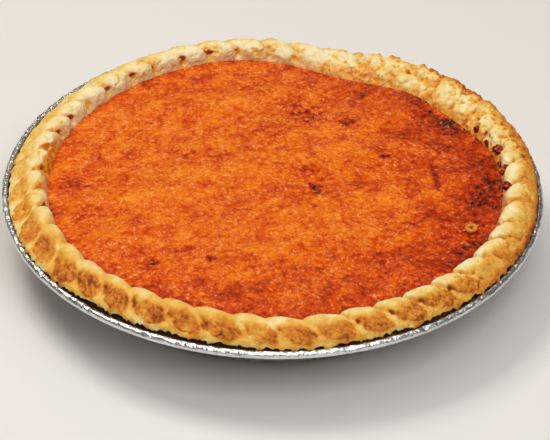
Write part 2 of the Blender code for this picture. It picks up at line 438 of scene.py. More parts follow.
def crease_marks(phase, row, knob, lobe, facing, soft):
    """The creases: nicked and open on the sides that baked crisp, with painted shade in the crisp nicks and
    the lobes between painted paler as painted highlight.
    """
    crisp, rough = facing["crisp"], facing["rough"]
    side = min(phase, 1 - phase)
    nick = bell(side, 0.045 + 0.02 * abs(soft["lumps"])) * on_row(row, "nick")
    nick *= (0.1 + 0.9 * crisp) * (1 - 0.6 * rough)
    mouth = 0.02 * (1 - crisp) + 0.06 * soft["lumps"] + 0.06 * crisp * smoothstep((3.4 - row) / 2)
    gap = bell(side, 0.08 + mouth) * facing["notched"] * smoothstep(1.4 * knob)
    gap *= smoothstep((row - 0.5) / 0.9) * smoothstep((4.8 + 1.2 * crisp + soft["lumps"] - row) / 1.4)
    line = crisp + (1 - crisp) * smoothstep((row - 5) / 1.5)
    line *= (1 - rough) * (1 - 0.7 * crisp * smoothstep((row - 4) / 1.2))
    # The lobe tops are painted paler as painted highlight
    painted_lobe_highlight = on_row(row, "lobe") * lobe
    return {
        "nick": nick,
        # painted shade in the crisp nicks
        "crisp_nick_painted_shade": crisp * nick,
        "gap": gap,
        "crisp_gap": crisp * gap,
        "darker_gap_patches": gap * smoothstep(0.6 + 1.5 * soft["patches"]),
        "crease_line": (1 - lobe) * smoothstep((row - 1) / 2) * line,
        "lobe": painted_lobe_highlight,
        "crisp_lobe_painted_highlight": crisp * painted_lobe_highlight,
    }


def oven_marks(row, outer, facing, soft):
    """What the oven did: crags, pits and cracks, a ragged lip, and sides that baked unevenly, with the
    inner wall at the far left painted paler as painted light.
    """
    crisp, rough, pale = facing["crisp"], facing["rough"], facing["pale"]
    lumps, flakes = soft["lumps"], soft["flakes"]
    lip = smoothstep((row - 7.9) / 1.2)
    pits = smoothstep(soft["pits"] * 2.4 - 0.6) * rough * on_row(row, "pits")
    pits += 0.8 * smoothstep(soft["pale_pits"] * 2.4 - 0.45) * pale * on_row(row, "pale_pits")
    rubble = soft["rubble"] * rough * on_row(row, "rubble")
    return {
        "pit": pits,
        "tip": rough * on_row(row, "tips") * smoothstep(soft["tips"] * 2 - 0.1),
        "fold": bell(soft["folds"], 0.07) * facing["fluted"] * on_row(row, "folds"),
        "rubble": rubble,
        "under_rubble": smoothstep(-rubble * 2.4 - 0.3),
        "lumps": lumps,
        "outer_lumps": outer * lumps,
        "pale_lumps": pale * lumps,
        "crisp_lumps": crisp * lumps,
        "grain": soft["grain"],
        "outer_grain": outer * soft["grain"],
        "broad": soft["broad"],
        "lip": lip,
        "lip_flakes": lip * flakes,
        "lip_waves": lip * soft["lip_waves"],
        "golden": smoothstep((row - 4.2) / 3) * facing["golden"],
        "crisp_lip": crisp * smoothstep((row - 6.8) / 1.8),
        "crisp_body": facing["fluted"] * smoothstep((9 - row) / 3),
        "rough_inside": rough * smoothstep((6 - row) / 2),
        "left_wall_painted_light": facing["left_wall_painted_light"] * smoothstep((3.0 - row) / 1.5),
        "pale": pale,
    }


# %% Syrup on the edge
# Where syrup bubbled out between filling and pastry: angle, width in degrees and amount
SYRUPY = ((76, 12, 0.45), (100, 18, 0.8), (132, 16, 0.7), (160, 15, 0.9))
SYRUPY += ((-94, 14, 1.4), (-126, 14, 0.3), (-150, 14, 0.5), (-174, 14, 0.5))
LEAST_SYRUP = 0.05
MOST_SYRUP = 1.25


def syrup_share(turn):
    total = LEAST_SYRUP
    for angle, width, amount in SYRUPY:
        total += amount * bell((math.degrees(turn) - angle + 180) % 360 - 180, width)
    return min(total, MOST_SYRUP)


def soaked(turn, phase, row, depth, facing, soft):
    """How far syrup stained the pastry, how wet it left it, and how thickly it set."""
    side = min(phase, 1 - phase)
    share = syrup_share(turn)
    stain = bell(side, 0.10 + 0.05 * soft["lumps"]) * on_row(row, "stain")
    stain *= smoothstep(0.6 + 1.8 * soft["patches"])
    scallop = 2.2 * facing["notched"] * bell(side, 0.17) - 0.3 * facing["crisp"] + 0.9 * facing["wet_left"]
    wet_up_to = 1.6 + 1.2 * soft["broad"] + 0.8 * stain + scallop
    wetness = share * (1 - smoothstep((row - wet_up_to) / 0.7))
    bead = bell(side, 0.10 + 0.08 * share) * on_row(row, "bead") * facing["beaded"]
    bead *= smoothstep(share * 1.2 - 0.2) * smoothstep(0.55 + 2.2 * soft["beads"])
    spot = bell(side, 0.20 + 0.06 * soft["lumps"]) * on_row(row, "spot") * facing["left"]
    spot *= smoothstep(2.5 * depth - 1.6) * smoothstep(0.9 + 1.6 * soft["spots"])
    return stain * facing["stained"], wetness, max(0.9 * bead, 0.7 * spot)


# %% A point of the edge
def crimp(column, row, section):
    """A point of the crimped edge, and how it baked there: browning with some painted shade and light in
    it, wetness and syrup.

    column counts flutes round the pie, row runs from the filling over the top to the lip."""
    (radius, height, deepest, shallowest), (normal_r, normal_z) = section
    k, phase = int(column) % FLUTES, column % 1.0
    start, depth, knob = flute_marks[k]
    end = flute_marks[(k + 1) % FLUTES][0] + (FLUTES if k == FLUTES - 1 else 0)
    turn = math.tau * (start + (end - start) * phase + FLUTE_LEAN * smoothstep((row - 2) / 7)) / FLUTES
    out, up = stray(turn)
    out += reach(turn, LIP_REACH) * smoothstep((row - 6) / 2.5)
    out -= slump(turn) * (1 - smoothstep(row / 3.5))
    here = place(radius + out, turn, height + up)

    facing = {name: towards(turn, *side) for name, side in SIDES.items()}
    facing["thumbed"] *= 0.45 + 0.55 * min(knob, 1)
    facing["fluted"] = facing["crisp"] * (1 - facing["rough"])
    facing["notched"] = max(facing["left"], facing["fluted"])
    soft = {name: uneven(here, *pattern) for name, pattern in PATTERNS.items()}
    soft["flakes"] = uneven((here[0], here[1], here[2] * FLAKES_FLATTENED), *FLAKES)

    outer = smoothstep((row - 4.4) / 1.4)
    lobe = lobe_shape(phase, row, facing)
    marks = print_marks(phase, row, knob, outer, facing, soft)
    marks.update(crease_marks(phase, row, knob, lobe, facing, soft))
    marks.update(oven_marks(row, outer, facing, soft))
    marks["stain"], wetness, syrup = soaked(turn, phase, row, depth, facing, soft)
    ragged = 0.25 * soft["lumps"] + 0.35 * soft["flakes"] - 0.05
    marks["lip_edge"] = marks["lip"] * facing["thumbed"] * ragged

    # The browning adds up real browning with the painted shade and light of a few marks
    raised, browned = weigh(MARKS, marks)
    rise = (lobe - 1) * depth * crease_depth(turn, row, deepest, shallowest, facing) + raised
    browning_and_painted_light = min(PLAIN_BROWNING + browned, DARKEST - 0.14 * facing["rough"])
    droop = marks["lip"] * (0.7 + 1.1 * max(soft["flakes"], 0)) * smoothstep((9.9 - row) / 0.6)
    x, y, z = place(radius + normal_r * rise + out, turn, height + normal_z * rise + up - droop)
    return (x, y, min(z, TOP)), browning_and_painted_light, wetness, syrup


# %% Pastry mesh
COLUMNS_A_FLUTE = 30
EDGE_STEPS = 58
LAST_ROW = 10
HIDDEN_COUNT = 96
# The pastry's edge and the filling sit a millimetre to the right in the tin
SHIFT = Vector((1.0, 0.0, 0.0))
# Plain rings that filling and tin hide: radius, height and how far they follow the edge
CASE_INSIDE = ((74.5, 5.1, 0.0), (76.5, 6.1, 0.0), (91.9, 26.0, 0.7), (93.2, 29.0, 1.0))
CASE_UNDER_LIP = (103.9, 28.2)
CASE_OUTSIDE = ((99.7, 27.9), (97.3, 26.2), (80.2, 3.6), (78.2, 1.6))


def strayed(radius, height, share=1.0, lift=1.0, shift=SHIFT):
    """A plain ring of points that follows the edge as far as share says."""
    points = []
    for i in range(HIDDEN_COUNT):
        turn = math.tau * i / HIDDEN_COUNT
        out, up = stray(turn)
        out -= slump(turn) * lift
        points.append(Vector(place(radius + share * out, turn, height + share * lift * up)) + shift)
    return points


def pastry():
    mesh = bmesh.new()
    marks = {"browning_and_painted_light": [], "wetness": [], "syrup": []}
    loops = []
    for step in range(EDGE_STEPS + 1):
        row = LAST_ROW * step / EDGE_STEPS
        section = section_at(row)
        loop = []
        for i in range(FLUTES * COLUMNS_A_FLUTE):
            point, *baked = crimp(i / COLUMNS_A_FLUTE, row, section)
            loop.append(mesh.verts.new((Vector(point) + SHIFT) * MM))
            for mark, value in zip(marks.values(), baked):
                mark.append(value)
        loops.append(loop)
    inside = [strayed(*ring) for ring in CASE_INSIDE]
    outside = [strayed(*CASE_UNDER_LIP, lift=0)]
    outside += [strayed(*ring, share=0, shift=Vector()) for ring in CASE_OUTSIDE]
    hidden = [[mesh.verts.new(p * MM) for p in points] for points in inside]
    under = [[mesh.verts.new(p * MM) for p in points] for points in outside]
    order = hidden + loops + under
    for lower, upper in zip(order, order[1:]):
        skin_between(mesh, lower, upper)
    cap(mesh, order[0], CASE_INSIDE[0][1])
    cap(mesh, order[-1], CASE_OUTSIDE[-1][1])
    return finish_piece("baked_pastry", mesh, "pastry_case", marks)


pastry_piece = pastry()

# %% [markdown]
# ## The filling
#
# Sweet potato, egg and sugar set to a low dome whose skin is pebbled with tiny bubbles. Where
# it was spread with a spoon there are long slanting swells, and where bubbles burst or sugar
# caught there are darker lumps and pits. A grid mapped onto a disc keeps the faces even in
# size, so that the pebbles are as sharp in the middle as at the edge.

# %% The filling's relief
EDGE_RADIUS = 93.9
EDGE_HEIGHT = 30.0
# Scorched lumps: place from the centre, size in millimetres, how dark, and how far it rises
LUMPS = (
    (16.8, -5.5, 2.2, 1.0, -0.3),
    (12.5, 6.0, 4.5, 0.45, 0.5),
    (10.5, 51.0, 4.8, 0.8, 0.4),
    (3.5, 39.0, 2.6, 0.5, 0.3),
    (2.0, 31.0, 3.0, 0.35, 0.3),
    (-11.0, 22.0, 2.4, 0.4, 0.3),
    (-23.0, 15.5, 2.8, 0.3, 0.3),
    (-34.5, 18.0, 3.6, 0.35, 0.3),
    (-48.0, 46.0, 4.0, 0.25, 0.2),
    (-29.5, 52.0, 3.6, 0.25, 0.2),
    (45.0, 18.0, 3.2, 0.6, 0.5),
    (31.0, 43.0, 3.4, 0.65, 0.2),
    (37.0, 67.0, 2.2, 0.7, 0.4),
    (61.5, 64.0, 5.5, 0.3, 0.2),
    (73.7, 43.6, 3.2, 0.45, 0.6),
    (71.6, 26.0, 2.6, 0.5, 0.6),
    (86.0, 5.0, 2.6, 0.2, 0.5),
    (87.4, -3.2, 3.0, 0.3, 0.6),
    (83.0, -10.3, 3.4, 0.2, 0.5),
    (80.0, -17.0, 3.2, 0.12, 0.5),
    (60.0, -23.0, 5.0, 0.3, 0.5),
    (40.0, -52.0, 3.6, 0.3, 0.3),
    (-18.0, -27.0, 2.6, 0.35, 0.3),
    (-47.0, -57.5, 2.0, 0.9, -0.4),
    (-25.0, -53.5, 1.5, 1.0, -0.7),
    (-32.0, -72.0, 4.0, 0.3, 0.4),
)
# Sugar blistered along the right: the angle, its width in degrees and how far in it reaches
CARAMEL = ((88, 22, 17.0), (126, 20, 13.0), (55, 20, 10.0), (20, 35, 6.0), (-30, 35, 4.0))
CREASE = ((65.0, 14.0), (67.0, -4.0), 1.5)
# Each pattern's distance between bumps in millimetres, its octaves and its seed
BLOTCHES = (10.0, 4, 4)
BLISTERS = (3.4, 2, 6)
PEBBLES = (2.4, 2, 11)
GRAIN = (1.3, 2, 8)
STREAKS = (6.0, 3, 1)
STREAKS_DRAWN_OUT = 2.0
# How far each mark raises the skin in millimetres, and how much darker it scorches
SKIN_MARKS = {
    "dome": (1.1, 0.0),
    "swell": (0.0, -0.04),
    "inner_swell": (0.32, 0.0),
    "streak": (0.16, -0.13),
    "blotch": (0.2, 0.2),
    "pebble": (0.09, 0.14),
    "grain": (0.05, 0.08),
    "outer_part": (0.0, 0.2),
    "caramel": (0.0, 0.18),
    "caramel_blister": (0.45, 0.0),
    "dark_blister": (0.0, 0.22),
    "caramel_pebble": (0.0, 0.16),
    "right": (0.0, 0.03),
    "left": (0.0, -0.07),
    "crease": (-0.5, 0.4),
    "edge": (0.5, 0.0),
    "edge_band": (0.0, 0.06),
}
PLAIN_SCORCH = 0.32
# A lump is left out of the sum beyond this many times its size
LUMP_REACH = 2.6


def from_segment(x, y, start, end):
    """Distance from a straight crease, in millimetres."""
    ax, ay = end[0] - start[0], end[1] - start[1]
    share = min(max(((x - start[0]) * ax + (y - start[1]) * ay) / (ax * ax + ay * ay), 0), 1)
    return math.hypot(x - start[0] - share * ax, y - start[1] - share * ay)


def filling_skin(x, y, reach, turn):
    """Rise of the skin over its edge, and how scorched it is, at a share of the full radius."""
    flat = (x, y, 0.0)
    slant, along = 0.8 * y - 0.6 * x, 0.8 * x + 0.6 * y
    swell = math.sin(slant / 8.3 + 0.9 * math.sin(along / 21)) + 0.7 * math.sin(slant / 4.7 + along / 13)
    streak = uneven((along / STREAKS_DRAWN_OUT, slant, 0), *STREAKS)
    blotch = uneven(flat, *BLOTCHES)
    blister = uneven(flat, *BLISTERS)
    pebble = uneven(flat, *PEBBLES)
    grain = uneven(flat, *GRAIN)
    front_right = 0.45 + 0.55 * towards(turn, 50, -0.6, 1.1)
    from_edge = (1 - reach) * EDGE_RADIUS
    caramel = 0.0
    for angle, width, width_in in CARAMEL:
        share = bell((math.degrees(turn) - angle + 180) % 360 - 180, width)
        caramel = max(caramel, share * (1 - smoothstep(from_edge / width_in - 0.35 + 0.9 * blotch)))
    caramel *= 0.4 + 0.6 * smoothstep(from_edge / 6)
    marks = {
        "dome": 1 - reach**2,
        "swell": swell,
        "inner_swell": swell * smoothstep((1 - reach) * 9),
        "streak": streak,
        "blotch": blotch,
        "pebble": pebble,
        "grain": grain,
        "outer_part": smoothstep((reach - 0.45) / 0.5) * front_right,
        "caramel": caramel,
        "caramel_blister": caramel * blister,
        "dark_blister": caramel * smoothstep(blister * 1.9 - 0.2),
        "caramel_pebble": caramel * pebble,
        "right": towards(turn, 110, 0.1, 0.8) * reach,
        "left": towards(turn, -100, 0.0, 0.8) * reach,
        "crease": bell(from_segment(x, y, CREASE[0], CREASE[1]), CREASE[2]),
        "edge": bell(from_edge, 1.1),
        "edge_band": bell(from_edge, 3.0),
    }
    rise, scorched = weigh(SKIN_MARKS, marks)
    scorch = PLAIN_SCORCH + scorched
    for lump_x, lump_y, size, dark, lift in LUMPS:
        apart = math.hypot(x - lump_x, y - lump_y)
        if apart < LUMP_REACH * size:
            share = bell(apart * (1 + 0.9 * blister + 0.6 * grain), size)
            scorch += 0.6 * dark * share * (0.8 + 0.9 * pebble)
            rise += lift * share * (1 + 1.1 * pebble)
    return rise, scorch


# %% Filling mesh
GRID = 300
# Plain rings of the wall that the case hides: radius, height and how far they follow the edge
FILLING_WALL = ((91.8, 25.6, 0.7), (75.9, 6.5, 0.0))
FILLING_BOTTOM = 5.6


def disc_point(a, b):
    """Shirley's map from a square of side 2 to a disc: share of the radius, and angle."""
    if a == 0 and b == 0:
        return 0.0, 0.0
    if abs(a) > abs(b):
        return abs(a), math.pi / 4 * b / a + (math.pi if a < 0 else 0)
    return abs(b), math.pi / 2 - math.pi / 4 * a / b + (math.pi if b < 0 else 0)


def filling():
    mesh = bmesh.new()
    scorches, grid, rim = [], [], []
    for i in range(GRID + 1):
        line = []
        for j in range(GRID + 1):
            far_out, angle = disc_point(2 * i / GRID - 1, 2 * j / GRID - 1)
            turn = angle + math.pi / 2
            out, up = stray(turn)
            radius = far_out * (EDGE_RADIUS + (out - slump(turn)) * far_out**3)
            x, y, z = place(radius, turn, EDGE_HEIGHT + up * far_out**3)
            rise, scorch = filling_skin(x, y, far_out, turn)
            vertex = mesh.verts.new((Vector((x, y, z + rise)) + SHIFT) * MM)
            line.append(vertex)
            scorches.append(scorch)
            if i in (0, GRID) or j in (0, GRID):
                rim.append((turn % math.tau, vertex))
        grid.append(line)
    for low, high in zip(grid, grid[1:]):
        for a, b, c, d in zip(low, low[1:], high[1:], high):
            mesh.faces.new((a, b, c, d))
    edge = [vertex for turn, vertex in sorted(rim, key=lambda pair: pair[0])]
    loops = [edge] + [[mesh.verts.new(p * MM) for p in strayed(*ring)] for ring in FILLING_WALL]
    for lower, upper in zip(loops, loops[1:]):
        skin_between(mesh, lower, upper)
    cap(mesh, loops[-1], FILLING_BOTTOM)
    marks = {"scorch": scorches}
    return finish_piece("baked_filling", mesh, "sweet_potato_filling", marks)


filling_piece = filling()

# %% [markdown]
# ## The foil tin
#
# A disposable tin is pressed from thin aluminium foil. The foil has to go somewhere as the wall
# is drawn up, so it pleats, and its edge is rolled into a bead that stiffens it. The roll is
# never smooth: it is full of small facets that catch the light one by one.

# %% Tin mesh
PLEATS = 60
COLUMNS_A_PLEAT = 14
FOIL = 0.5
BEAD_RADIUS = 1.6
BEAD_CENTRE = (109.4, 28.0)
BEAD_FROM = -110
BEAD_SWEEP = 270
BEAD_STEPS = 16
# The crinkles stay inside this radius, and those of the bead are set in so that they can
LARGEST_RADIUS = 110.9
BEAD_SET_IN = 0.12
RIM_DENT = (164, 13, -0.6, -3.0)
# Filling and fat baked on to the flange, and painted shade in the gap under the crust's lip: above this
# height, and out to this radius
STAIN_AND_SHADE_ABOVE = 26.5
STAIN_AND_SHADE_TO = 107.9
# Outside of the tin from the middle of its base to the bead: radius, height, pleat depth, steps
TIN_OUTSIDE = (
    (57.0, 0.0, 0.0, 1),
    (58.2, 0.0, 0.0, 2),
    (59.0, 0.7, 0.0, 2),
    (63.0, 0.7, 0.0, 2),
    (63.8, 0.0, 0.0, 4),
    (79.4, 0.0, 0.0, 3),
    (81.6, 1.6, 0.5, 14),
    (99.2, 26.2, 0.5, 3),
    (100.8, 26.9, 0.25, 6),
    (108.2, 26.9, 0.05, 0),
)


def tin_stations():
    """The tin's section as radius, height, pleat depth and crinkle, up the outside, round the
    bead and down the inside, which is the outside set in by the foil."""
    outside = []
    for (r, z, p, steps), (r2, z2, p2, _) in zip(TIN_OUTSIDE, TIN_OUTSIDE[1:]):
        for i in range(steps):
            t = i / steps
            outside.append((r + (r2 - r) * t, z + (z2 - z) * t, p + (p2 - p) * t, 0.3))
    bead = []
    for i in range(BEAD_STEPS + 1):
        angle = math.radians(BEAD_FROM + BEAD_SWEEP * i / BEAD_STEPS)
        radius = BEAD_CENTRE[0] + BEAD_RADIUS * math.cos(angle)
        height = BEAD_CENTRE[1] + BEAD_RADIUS * math.sin(angle)
        bead.append((radius, height, 0.0, 1.0))
    inside = [(r - FOIL * 0.6, z + FOIL, p, c) for r, z, p, c in outside]
    return outside, bead, inside


def tin():
    mesh = bmesh.new()
    outside, bead, inside = tin_stations()
    loops, baked_on_and_gap_shade = [], []
    count = PLEATS * COLUMNS_A_PLEAT
    for radius, height, pleat, crinkle in outside + bead + inside[::-1]:
        loop = []
        for i in range(count):
            turn = math.tau * i / count
            fold = 1 - 2 * abs(2 * ((i / COLUMNS_A_PLEAT) % 1) - 1)
            at = place(radius, turn, height)
            dent = crinkle * (0.3 * uneven(at, 2.6, 2) + 0.14 * abs(uneven(at, 1.3, 2, seed=3)))
            share = bell(((math.degrees(turn) - RIM_DENT[0] + 180) % 360 - 180) / math.sqrt(2), RIM_DENT[1])
            share *= smoothstep((radius - 100.5) / 7)
            r = radius + pleat * fold + dent + RIM_DENT[2] * share
            r -= BEAD_SET_IN if crinkle == 1.0 else 0.0
            z = height + RIM_DENT[3] * share + (dent if height > 1 else 0.0)
            loop.append(mesh.verts.new(Vector(place(min(r, LARGEST_RADIUS), turn, max(z, 0))) * MM))
            # The flange under the lip: baked-on brown, and painted shade in the gap there
            stain = smoothstep((STAIN_AND_SHADE_TO + 0.5 * uneven(at, 3, 2, seed=4) - radius) / 1.2)
            baked_on_and_gap_shade.append(stain * (height > STAIN_AND_SHADE_ABOVE))
        loops.append(loop)
    for lower, upper in zip(loops, loops[1:]):
        skin_between(mesh, lower, upper)
    cap(mesh, loops[0], 0.0)
    cap(mesh, loops[-1], FOIL)
    return finish_piece("pleated_foil_tin", mesh, "foil_tin", {"baked_on_and_gap_shade": baked_on_and_gap_shade})


tin_piece = tin()

# %% [markdown]
# ## Syrup drops and a crumb
#
# Syrup boils up between the filling and the pastry and sets in the notches as dark, glassy
# beads. They are small blobs, pushed out of round by noise. One flake of pastry that curled
# into a ring lies on the filling, with two bits beside it.

# %% Blobs
# Drops in the notches: angle, radius and height, and length, width and height of the drop
DROPS = (
    (102.6, 94.9, 34.0, 5.4, 4.2, 3.8),
    (86.6, 94.9, 34.0, 4.8, 3.8, 3.4),
    (97.6, 94.0, 32.2, 3.2, 2.6, 2.6),
    (94.2, 94.0, 32.0, 2.6, 2.2, 2.2),
    (113.4, 92.4, 32.9, 3.4, 2.8, 3.2),
    (107.6, 93.0, 32.0, 3.2, 2.4, 2.4),
    (171.5, 91.6, 30.8, 2.6, 2.0, 1.6),
    (164.5, 88.0, 30.4, 2.4, 1.6, 1.4),
)


def blob(name, centre, turn, sizes, seed):
    """A pebble of the given length, width and height, turned about the pie's axis."""
    mesh = bmesh.new()
    bmesh.ops.create_icosphere(mesh, subdivisions=4, radius=1.0)
    for vertex in mesh.verts:
        push = 1 + 0.28 * noise.noise(vertex.co * 1.3 + Vector((seed, 0, 0)))
        x, y, z = (c * push * size / 2 for c, size in zip(vertex.co, sizes))
        cos, sin = math.cos(turn), math.sin(turn)
        moved = (centre[0] + cos * x - sin * y, centre[1] + sin * x + cos * y, centre[2] + z)
        vertex.co = (Vector(moved) + SHIFT) * MM
    return finish_piece(name, mesh, None)


drop_pieces = []
for n, (angle, radius, height, *sizes) in enumerate(DROPS):
    drop_turn = math.radians(angle)
    centre = place(radius, drop_turn, height)
    drop = blob(f"syrup_drop_{n + 1}", centre, drop_turn, sizes, n)
    drop_pieces.append(drop)


# %% Crumb
FLAKE_AROUND = 40
FLAKE_ABOUT = 14
# Where a flake thins out: the turn in radians, how wide, and by which share
FLAKE_THIN = (4.0, 0.6, 0.45)


def curled_flake(name, centre, radius, thick, seed):
    """A flake that curled into a ring as it dried: a lumpy tube, thinner on one side."""
    mesh = bmesh.new()
    for i in range(FLAKE_AROUND):
        turn = math.tau * i / FLAKE_AROUND
        lumpy = 1 + 0.5 * noise.noise(Vector((math.cos(turn) * 0.9 + seed, math.sin(turn) * 0.9, 0)))
        thinned = 1 - FLAKE_THIN[2] * bell(turn - FLAKE_THIN[0], FLAKE_THIN[1])
        ring = []
        for j in range(FLAKE_ABOUT):
            tilt = math.tau * j / FLAKE_ABOUT
            crumbly = 1 + 0.6 * noise.noise(Vector((turn * 2, tilt * 1.5, seed)))
            tube = thick * lumpy * thinned * crumbly
            reach_out = radius * (0.85 + 0.25 * lumpy) + tube * math.cos(tilt)
            at = Vector(place(reach_out, turn, 0.9 * tube * math.sin(tilt)))
            ring.append(mesh.verts.new((Vector(centre) + SHIFT + at) * MM))
        if i:
            skin_between(mesh, last, ring)
        else:
            first = ring
        last = ring
    skin_between(mesh, last, first)
    browned = [0.64 + 0.14 * math.sin(3 * k) for k in range(FLAKE_AROUND * FLAKE_ABOUT)]
    return finish_piece(name, mesh, None, {"browning_and_painted_light": browned})


crumb_piece = curled_flake("pastry_crumb", (78.6, -31.4, 31.2), 1.55, 0.9, 3)
crumb_bits = [
    curled_flake(f"pastry_bit_{n + 1}", (x, y, 30.8), 0.2, 0.4, n)
    for n, (x, y) in enumerate(((75.8, -32.3), (80.9, -29.4)))
]

# %% [markdown]
# ## Small tools for finishes
#
# Colours are written the way a colour picker gives them, as sRGB hex, and one function turns
# them to the linear values that a shader adds up. Another adds a node together with its
# settings and links, so that a material reads as a list.

# %% Colour and nodes
# A colour Mix node's sockets, by number: the two colours, and what comes out
MIX_A = 6
MIX_B = 7
MIXED = 2


def linear(code):
    """An sRGB colour such as #E8D09A, as linear red, green, blue and alpha."""
    parts = [int(code[i : i + 2], 16) / 255 for i in (1, 3, 5)]
    return [p / 12.92 if p <= 0.04045 else ((p + 0.055) / 1.055) ** 2.4 for p in parts] + [1.0]


def add(tree, kind, values=None, links=None, **settings):
    """One node, with its settings, the values of its sockets and what is linked to them."""
    node = tree.nodes.new("ShaderNode" + kind)
    for name, value in settings.items():
        setattr(node, name, value)
    for socket, value in (values or {}).items():
        node.inputs[socket].default_value = value
    for socket, source in (links or {}).items():
        tree.links.new(source, node.inputs[socket])
    return node


def new_finish(name):
    made = bpy.data.materials.new(name)
    made.use_nodes = True
    return made, made.node_tree, made.node_tree.nodes["Principled BSDF"]


def paint(node, stops):
    """Sets the stops of a colour ramp: place and sRGB colour."""
    while len(node.color_ramp.elements) < len(stops):
        node.color_ramp.elements.new(0.5)
    for element, (where, code) in zip(node.color_ramp.elements, stops):
        element.position = where
        element.color = linear(code)


def per_metre(size):
    """A noise scale for bumps that lie size millimetres apart."""
    return 1000 / size


def cloudy(tree, where, size, detail, **sockets):
    """Fractal noise with bumps about size millimetres apart."""
    values = {"Scale": per_metre(size), "Detail": detail, **sockets}
    return add(tree, "TexNoise", values, {"Vector": where}).outputs["Fac"]


# %% [markdown]
# ## Baked shortcrust
#
# Shortcrust is flour and fat, so it bakes matt, cream where it stayed pale and gold to brown
# where it was thin or pressed. The mesh already carries how far each spot has browned, and with
# it painted shade in the crisp nicks and painted light on the lobe tops and the far-left wall.
# The material adds the fine grain of flour and the freckles between them, and near the filling a
# wet glaze of syrup makes it darker and glossy.

# %% Pastry finish
def shortcrust():
    made, tree, shader = new_finish("baked_shortcrust")
    where = add(tree, "TexCoord").outputs["Object"]
    browning_and_painted_light = add(tree, "Attribute", attribute_name="browning_and_painted_light").outputs["Fac"]
    wetness = add(tree, "Attribute", attribute_name="wetness").outputs["Fac"]
    syrup = add(tree, "Attribute", attribute_name="syrup").outputs["Fac"]
    freckles = cloudy(tree, where, 2.2, 4.0, Roughness=0.6)
    flour = cloudy(tree, where, 0.7, 3.0, Roughness=0.7)
    spread = add(tree, "MapRange", {"To Min": -0.13, "To Max": 0.13}, {"Value": freckles}).outputs[0]
    specks = add(tree, "MapRange", {"To Min": -0.09, "To Max": 0.09}, {"Value": flour}).outputs[0]
    first = add(tree, "Math", {}, {0: browning_and_painted_light, 1: spread}, operation="ADD").outputs[0]
    total = add(tree, "Math", {}, {0: first, 1: specks}, operation="ADD").outputs[0]
    ramp = add(tree, "ValToRGB", {}, {"Fac": total})
    paint(
        ramp,
        (
            (0.05, "#F4E4B4"),
            (0.22, "#EED28A"),
            (0.38, "#E8B856"),
            (0.56, "#DE9632"),
            (0.72, "#CA7220"),
            (0.86, "#984C16"),
            (1.00, "#54240E"),
        ),
    )
    amber = add(tree, "ValToRGB", {}, {"Fac": freckles})
    paint(amber, ((0.38, "#EFAE3A"), (0.5, "#E68C20"), (0.64, "#C65A10")))
    soaked_share = add(tree, "Math", {1: 0.8}, {0: wetness}, operation="MULTIPLY").outputs[0]
    colours = {0: soaked_share, MIX_A: ramp.outputs[0], MIX_B: amber.outputs[0]}
    glaze = add(tree, "Mix", {}, colours, data_type="RGBA").outputs[MIXED]
    beads = add(tree, "MapRange", {"From Min": 0.3, "From Max": 0.5}, {"Value": syrup}).outputs[0]
    sticky = add(
        tree, "Mix", {MIX_B: linear("#9E3006")}, {0: beads, MIX_A: glaze}, data_type="RGBA"
    ).outputs[MIXED]
    gloss = add(tree, "Math", {}, {0: wetness, 1: syrup}, operation="MAXIMUM").outputs[0]
    roughness = add(tree, "MapRange", {"To Min": 0.68, "To Max": 0.4}, {"Value": gloss}).outputs[0]
    bumps = add(tree, "Math", {1: 0.5}, {0: flour, 2: freckles}, operation="MULTIPLY_ADD").outputs[0]
    bump = add(tree, "Bump", {"Strength": 0.6, "Distance": 0.5 * MM}, {"Height": bumps})
    tree.links.new(sticky, shader.inputs["Base Color"])
    tree.links.new(roughness, shader.inputs["Roughness"])
    tree.links.new(bump.outputs[0], shader.inputs["Normal"])
    film = add(tree, "Math", {1: 0.2}, {0: gloss}, operation="MULTIPLY").outputs[0]
    tree.links.new(film, shader.inputs["Coat Weight"])
    shader.inputs["Coat Roughness"].default_value = 0.12
    shader.inputs["IOR"].default_value = 1.45
    shader.inputs["Specular IOR Level"].default_value = 0.25
    return made
